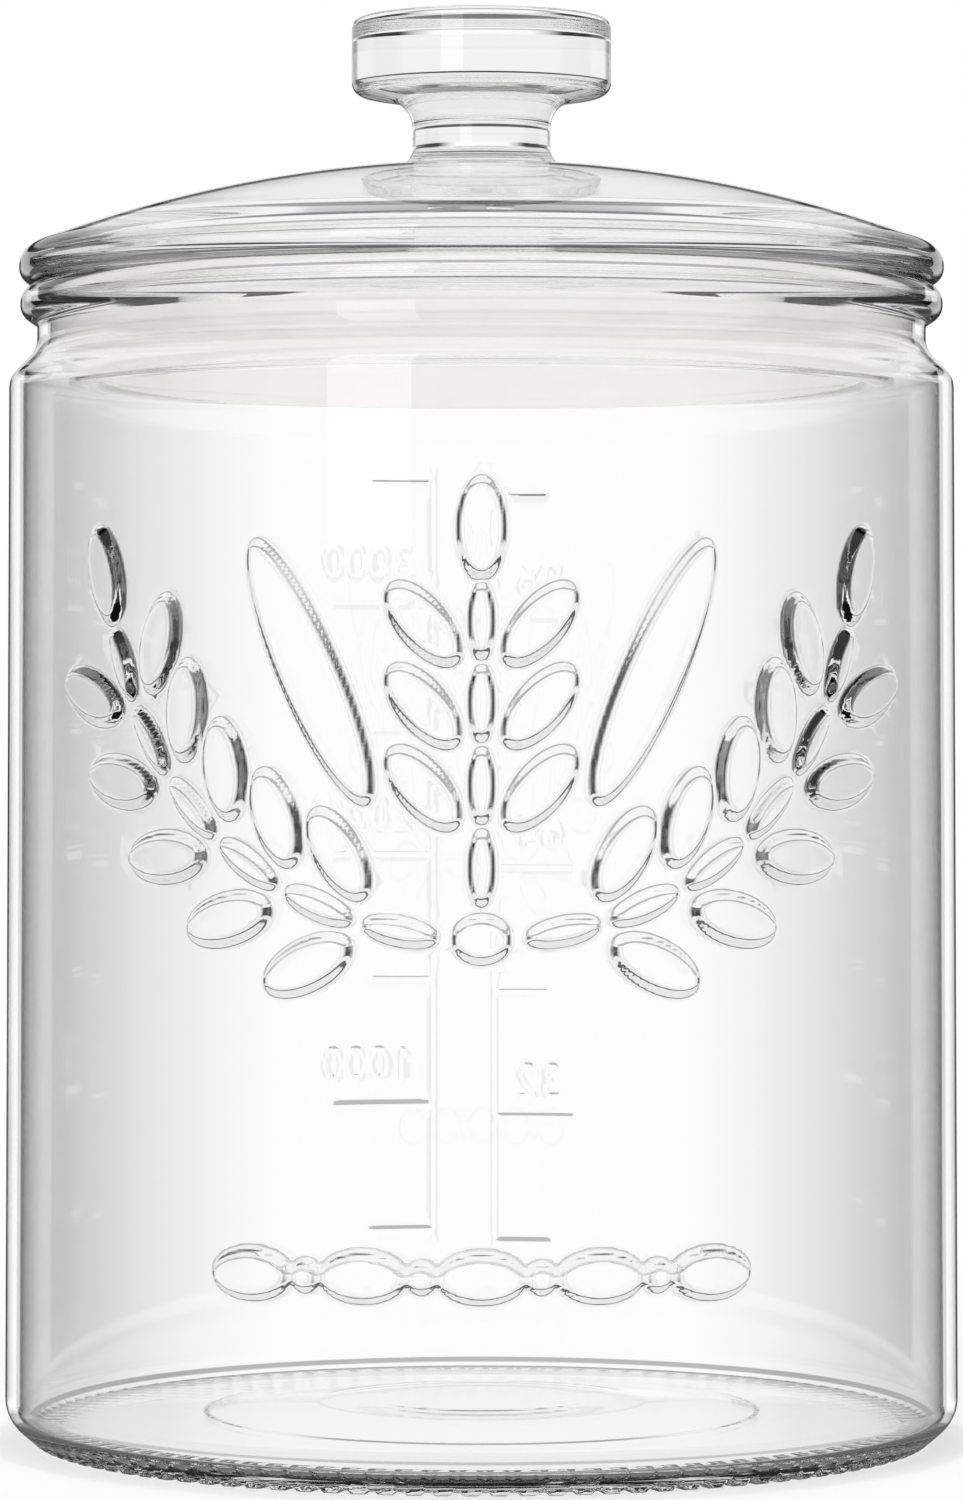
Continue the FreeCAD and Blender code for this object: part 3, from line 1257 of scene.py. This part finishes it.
def settle(
    piece: bpy.types.Object, material: bpy.types.Material, body: Body, node: str
) -> None:
    """Dresses a piece and puts it into the frame.

    Args:
        piece: the piece, already in its place.
        material: its only material.
        body: CAD body that it rides on.
        node: CAD node that it stands for.
    """
    piece.data.materials.append(material)
    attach(piece, body.value)
    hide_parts(node)


@dataclass(frozen=True)
class Sight:
    """Nodes that say where light comes from and how it got here.

    Attributes:
        height: height of its direction.
        on_panel: its turn, as a share of the way from the middle of a panel to that of a gap.
        to_front: its turn, as a share of the way from the back to the front.
        mirrored: whether a skin mirrored it.
        through: whether it went through both walls of the jar.
        clear: whether glass alone sent it here.
    """

    height: bpy.types.NodeSocket
    on_panel: bpy.types.Node
    to_front: bpy.types.Node
    mirrored: bpy.types.Node
    through: bpy.types.Node
    clear: bpy.types.Node


@dataclass(frozen=True)
class WhiteRoom:
    """White room round the jar, plain white to the eye, with dark gaps that only glass shows.

    Clear glass on white is seen by what it bends and mirrors into view. Dark gaps between the white
    panels, dark strips on table and ceiling and dark sides draw its edges. Stops pair places with
    grey levels. A turn is measured from straight behind the jar, and heights and depths are those
    of a direction with a length of 1.

    Attributes:
        panel_angle: turn from the middle of a panel to that of a gap, in radians.
        panels: panels and gaps, by the turn on a panel.
        panel_shade: shade on a panel, seen through both walls, by the turn on a panel.
        round_view: what a skin mirrors all round the jar, by the turn to the front.
        back_edge: what the near wall alone mirrors from the back, by the turn to the front.
        table_gaps: how much of the table stays white before a gap, by the turn on a panel.
        table_strips: strips on the table, by depth.
        table_levels: greys of the table in a skin, in the near wall and through both walls.
        table_top: heights between which the table gives way to the panels.
        ceiling_strip: strip round the ceiling, by height.
        ceiling_gaps: gaps at both sides of the ceiling, by the turn to the front.
        ceiling_level: grey of the ceiling in a skin, through both walls.
        ceiling_foot: heights between which the panels give way to the ceiling.
        wall_skins: light that crosses more skins than this went through both walls.
        once: light that met a kind of surface at all met it more often than this.
    """

    panel_angle: float = math.pi / 4
    panels: Stops = ((0.0, 1.0), (0.33, 1.0), (0.48, 0.6), (0.58, 0.15), (0.63, 0.02), (1.0, 0.02))
    panel_shade: Stops = ((0.0, 1.0), (0.11, 1.0), (0.15, 0.87), (0.21, 0.87), (0.25, 1.0))
    round_view: Stops = ((0.0, 1.0), (0.159, 1.0), (0.165, 0.02), (0.55, 0.03), (0.6, 0.45), (0.72, 1.0))
    back_edge: Stops = ((0.0, 0.05), (0.07, 0.05), (0.092, 1.0), (1.0, 1.0))
    table_gaps: Stops = ((0.4, 0.0), (0.62, 1.0))
    table_strips: Stops = (
        (0.0, 1.0),
        (0.16, 1.0),
        (0.175, 0.42),
        (0.25, 0.42),
        (0.28, 1.0),
        (0.48, 1.0),
        (0.56, 0.04),
        (0.74, 0.04),
        (0.84, 1.0),
    )
    table_levels: Point = (0.14, 0.8)
    table_top: Point = (-0.17, -0.15)
    ceiling_strip: Stops = (
        (0.0, 0.9),
        (0.168, 0.9),
        (0.178, 0.05),
        (0.225, 0.05),
        (0.25, 0.86),
        (1.0, 0.86),
    )
    ceiling_gaps: Stops = ((0.0, 1.0), (0.36, 1.0), (0.4, 0.06), (0.56, 0.06), (0.6, 1.0))
    ceiling_level: float = 0.86
    ceiling_foot: Point = (0.080, 0.098)
    wall_skins: float = 3.5
    once: float = 0.5

    def sight(self, tree: bpy.types.NodeTree) -> Sight:
        """Tells directions and paths of light apart.

        Args:
            tree: node tree of the world.

        Returns:
            The nodes that do so.
        """
        place = add_node(tree, "TexCoord")
        axes = add_node(tree, "SeparateXYZ", {0: place.outputs["Generated"]})
        right, back = axes.outputs["X"], axes.outputs["Y"]
        angle = add_node(tree, "Math", {0: right, 1: back}, operation="ARCTAN2")
        turn = add_node(tree, "Math", {0: angle}, operation="ABSOLUTE")
        folded = add_node(tree, "Math", {0: turn, 1: self.panel_angle}, operation="PINGPONG")
        path = add_node(tree, "LightPath")
        glossy, crossed = path.outputs["Glossy Depth"], path.outputs["Transmission Depth"]
        diffuse = path.outputs["Diffuse Depth"]
        mirrored = add_node(tree, "Math", {0: glossy, 1: self.once}, operation="GREATER_THAN")
        bent = add_node(tree, "Math", {0: crossed, 1: self.once}, operation="GREATER_THAN")
        unspread = add_node(tree, "Math", {0: diffuse, 1: self.once}, operation="LESS_THAN")
        either = add_node(tree, "Math", {0: mirrored, 1: bent}, operation="MAXIMUM")
        return Sight(
            axes.outputs["Z"],
            add_node(tree, "Math", {0: folded, 1: self.panel_angle}, operation="DIVIDE"),
            add_node(tree, "Math", {0: turn, 1: math.pi}, operation="DIVIDE"),
            mirrored,
            add_node(tree, "Math", {0: crossed, 1: self.wall_skins}, operation="GREATER_THAN"),
            add_node(tree, "Math", {0: either, 1: unspread}, operation="MULTIPLY"),
        )

    def build_table(self, tree: bpy.types.NodeTree, sight: Sight) -> bpy.types.Node:
        """Paints what lies below the panels.

        Args:
            tree: node tree of the world.
            sight: nodes that tell light apart.

        Returns:
            The node that gives its grey.
        """
        gaps = add_node(tree, "ValToRGB", {0: sight.on_panel}, self.table_gaps)
        depth = add_node(tree, "Math", {0: sight.height, 1: -1.0}, operation="MULTIPLY")
        strips = add_node(tree, "ValToRGB", {0: depth}, self.table_strips)
        bent = add_node(tree, "Math", {0: gaps, 1: strips}, operation="MAXIMUM")
        near, far = self.table_levels
        in_skin = add_node(tree, "MapRange", {"Value": sight.through, "To Min": near, "To Max": far})
        return add_node(
            tree, "Mix", {"Factor": sight.mirrored, "A": bent, "B": in_skin}, data_type="RGBA"
        )

    def build_panels(self, tree: bpy.types.NodeTree, sight: Sight) -> bpy.types.Node:
        """Paints the panels and the gaps between them.

        Args:
            tree: node tree of the world.
            sight: nodes that tell light apart.

        Returns:
            The node that gives their grey.
        """
        panels = add_node(tree, "ValToRGB", {0: sight.on_panel}, self.panels)
        shade = add_node(tree, "ValToRGB", {0: sight.on_panel}, self.panel_shade)
        far_shade = add_node(
            tree, "Mix", {"Factor": sight.through, "A": WHITE, "B": shade}, data_type="RGBA"
        )
        bent = add_node(
            tree,
            "Mix",
            {"Factor": 1.0, "A": panels, "B": far_shade},
            data_type="RGBA",
            blend_type="MULTIPLY",
        )
        round_view = add_node(tree, "ValToRGB", {0: sight.to_front}, self.round_view)
        back_edge = add_node(tree, "ValToRGB", {0: sight.to_front}, self.back_edge)
        near_edge = add_node(
            tree, "Mix", {"Factor": sight.through, "A": back_edge, "B": WHITE}, data_type="RGBA"
        )
        in_skin = add_node(
            tree,
            "Mix",
            {"Factor": 1.0, "A": round_view, "B": near_edge},
            data_type="RGBA",
            blend_type="MULTIPLY",
        )
        return add_node(
            tree, "Mix", {"Factor": sight.mirrored, "A": bent, "B": in_skin}, data_type="RGBA"
        )

    def build_ceiling(self, tree: bpy.types.NodeTree, sight: Sight) -> bpy.types.Node:
        """Paints what lies above the panels.

        Args:
            tree: node tree of the world.
            sight: nodes that tell light apart.

        Returns:
            The node that gives its grey.
        """
        strip = add_node(tree, "ValToRGB", {0: sight.height}, self.ceiling_strip)
        gaps = add_node(tree, "ValToRGB", {0: sight.to_front}, self.ceiling_gaps)
        ceiling = add_node(
            tree,
            "Mix",
            {"Factor": 1.0, "A": strip, "B": gaps},
            data_type="RGBA",
            blend_type="MULTIPLY",
        )
        tossed = add_node(
            tree, "Math", {0: sight.mirrored, 1: sight.through}, operation="MULTIPLY"
        )
        plain = (self.ceiling_level, self.ceiling_level, self.ceiling_level, 1.0)
        return add_node(
            tree, "Mix", {"Factor": tossed, "A": ceiling, "B": plain}, data_type="RGBA"
        )

    def make(self) -> bpy.types.World:
        """Puts table, panels and ceiling together.

        Returns:
            The world.
        """
        world = bpy.data.worlds.new("white_panels")
        tree = new_tree(world)
        sight = self.sight(tree)
        room = self.build_table(tree, sight)
        layers = (
            (self.table_top, self.build_panels(tree, sight)),
            (self.ceiling_foot, self.build_ceiling(tree, sight)),
        )
        for (start, end), layer in layers:
            share = add_node(
                tree, "MapRange", {"Value": sight.height, "From Min": start, "From Max": end}
            )
            room = add_node(tree, "Mix", {"Factor": share, "A": room, "B": layer}, data_type="RGBA")
        seen = add_node(
            tree, "Mix", {"Factor": sight.clear, "A": WHITE, "B": room}, data_type="RGBA"
        )
        shine = add_node(tree, "Background", {"Color": seen, "Strength": 1.0})
        add_node(tree, "OutputWorld", {"Surface": shine})
        return world


@dataclass(frozen=True)
class WhiteTable:
    """White laminate with a matt, pressed face, which spreads light evenly and shows soft shadows.

    To the eye it melts into the white room between two distances from the jar, in m.
    """

    colour: str = "#F8F8F8"
    melt: Point = (0.16, 0.42)

    def make(self) -> bpy.types.Material:
        """Mixes the laminate.

        Returns:
            The material.
        """
        material = bpy.data.materials.new("white_table")
        tree = new_tree(material)
        path = add_node(tree, "LightPath")
        place = add_node(tree, "TexCoord")
        away = add_node(tree, "VectorMath", {0: place.outputs["Object"]}, operation="LENGTH")
        near, far = self.melt
        melt = add_node(
            tree,
            "MapRange",
            {"Value": away.outputs["Value"], "From Min": near, "From Max": far},
            interpolation_type="SMOOTHSTEP",
        )
        seen = path.outputs["Is Camera Ray"]
        share = add_node(tree, "Math", {0: melt, 1: seen}, operation="MULTIPLY")
        matt = add_node(tree, "BsdfDiffuse", {"Color": to_linear(self.colour)})
        white = add_node(tree, "Emission", {"Color": WHITE, "Strength": 1.0})
        mixed = add_node(tree, "MixShader", {0: share, 1: matt, 2: white})
        add_node(tree, "OutputMaterial", {"Surface": mixed})
        return material


@dataclass(frozen=True)
class SoftboxCloth:
    """White nylon, woven and lit from within. It shines evenly and fades over its lowest stretch.

    Attributes:
        level: strength of its light above the stretch, where that of white is 1.
        fade: height of the stretch, in m.
    """

    level: float = 2.8
    fade: float = 0.06

    def make(self) -> bpy.types.Material:
        """Mixes the cloth.

        Returns:
            The material.
        """
        material = bpy.data.materials.new("softbox_cloth")
        tree = new_tree(material)
        place = add_node(tree, "TexCoord")
        axes = add_node(tree, "SeparateXYZ", {0: place.outputs["Object"]})
        height = axes.outputs["Z"]
        light = add_node(
            tree,
            "MapRange",
            {"Value": height, "From Max": self.fade, "To Min": 1.0, "To Max": self.level},
            interpolation_type="SMOOTHSTEP",
        )
        cloth = add_node(tree, "Emission", {"Color": WHITE, "Strength": light})
        add_node(tree, "OutputMaterial", {"Surface": cloth})
        return material


@dataclass
class Studio:
    """White room, table, softbox and camera. Lengths are in m and angles in degrees."""

    floor_size: float = 12.0
    softbox_turn: float = 26.0
    softbox_distance: float = 1.6
    softbox_foot: float = 0.19
    softbox_width: float = 0.56
    softbox_height: float = 1.3
    camera_distance: float = 1.039
    camera_height: float = 0.1298
    camera_pitch: float = 0.403
    camera_clip: Point = (0.01, 50.0)
    lens_mm: float = 139.9
    sensor_mm: float = 36.0
    bounces: int = 32
    surface_bounces: int = 16

    @staticmethod
    def sheet(
        name: str, corners: Sequence[Corner], material: bpy.types.Material
    ) -> bpy.types.Object:
        """Adds a flat sheet.

        Args:
            name: its name.
            corners: its four corners, in order.
            material: its material.

        Returns:
            The sheet.
        """
        mesh = bpy.data.meshes.new(name)
        mesh.from_pydata(corners, [], [(0, 1, 2, 3)])
        mesh.materials.append(material)
        sheet = bpy.data.objects.new(name, mesh)
        bpy.context.scene.collection.objects.link(sheet)
        return sheet

    def build_floor(self) -> None:
        """White table that keeps the shadow near the jar. Glass sees the room's own table."""
        half = self.floor_size / 2
        corners = [(-half, -half, 0), (half, -half, 0), (half, half, 0), (-half, half, 0)]
        floor = self.sheet("floor", corners, WhiteTable().make())
        floor.visible_transmission = False
        floor.visible_glossy = False
        floor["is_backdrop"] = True

    def build_softbox(self) -> None:
        """Tall softbox at the front left. Only reflections show it."""
        half, tall = self.softbox_width / 2, self.softbox_height
        corners = [(-half, 0, 0), (half, 0, 0), (half, 0, tall), (-half, 0, tall)]
        card = self.sheet("front_left_softbox", corners, SoftboxCloth().make())
        turn = math.radians(self.softbox_turn)
        left, forward = math.sin(turn), math.cos(turn)
        distance = self.softbox_distance
        card.location = (-distance * left, -distance * forward, self.softbox_foot)
        card.rotation_euler = (0, 0, -turn)
        card.visible_camera = False
        card.visible_transmission = False
        card.visible_shadow = False
        card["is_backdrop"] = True

    def build_camera(self) -> None:
        """Long lens at about half the jar's height, straight in front of it."""
        data = bpy.data.cameras.new("camera")
        data.sensor_width = self.sensor_mm
        data.lens = self.lens_mm
        data.clip_start, data.clip_end = self.camera_clip
        camera = bpy.data.objects.new("camera", data)
        camera.location = (0, -self.camera_distance, self.camera_height)
        camera.rotation_euler = (math.radians(90 - self.camera_pitch), 0, 0)
        bpy.context.scene.collection.objects.link(camera)
        bpy.context.scene.camera = camera

    def build(self) -> None:
        """Builds everything round the jar. Light may cross many skins before it is given up."""
        scene = bpy.context.scene
        scene.view_settings.view_transform = "Standard"
        scene.cycles.max_bounces = self.bounces
        scene.cycles.transmission_bounces = self.bounces
        scene.cycles.glossy_bounces = self.surface_bounces
        scene.cycles.diffuse_bounces = self.surface_bounces
        scene.cycles.blur_glossy = 0.0
        scene.world = WhiteRoom().make()
        self.build_floor()
        self.build_softbox()
        self.build_camera()


def main() -> None:
    """Builds the jar piece by piece, then the studio."""
    logging.basicConfig(level=logging.INFO, format="%(name)s: %(message)s")
    at_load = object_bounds()
    front_shapes = [*GrainOrnament().shapes(), *BeadRow().shapes()]
    reliefs = [
        Relief(Side.FRONT, rise=1.6, edge=1.5, shapes=front_shapes),
        Relief(Side.BACK, rise=0.4, edge=0.55, shapes=MeasuringScale().shapes()),
    ]
    parts = [
        (JarBody(reliefs=reliefs), SodaLimeGlass("blown_soda_lime_glass")),
        (Lid(), SodaLimeGlass("pressed_soda_lime_glass", wave_depth_mm=0.01)),
        (LidSeal(), MilkySilicone("milky_silicone_rubber")),
    ]
    for part, finish in parts:
        piece = part.build()
        part.dress(piece, finish)
        mesh = piece.data
        LOG.info("%s: %d vertices, %d faces", piece.name, len(mesh.vertices), len(mesh.polygons))
    Studio().build()
    corners = {"at_load": at_load, "at_finish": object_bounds()}
    json.dumps({k: [list(c) for c in v] for k, v in corners.items()})


if __name__ == "__main__":
    main()
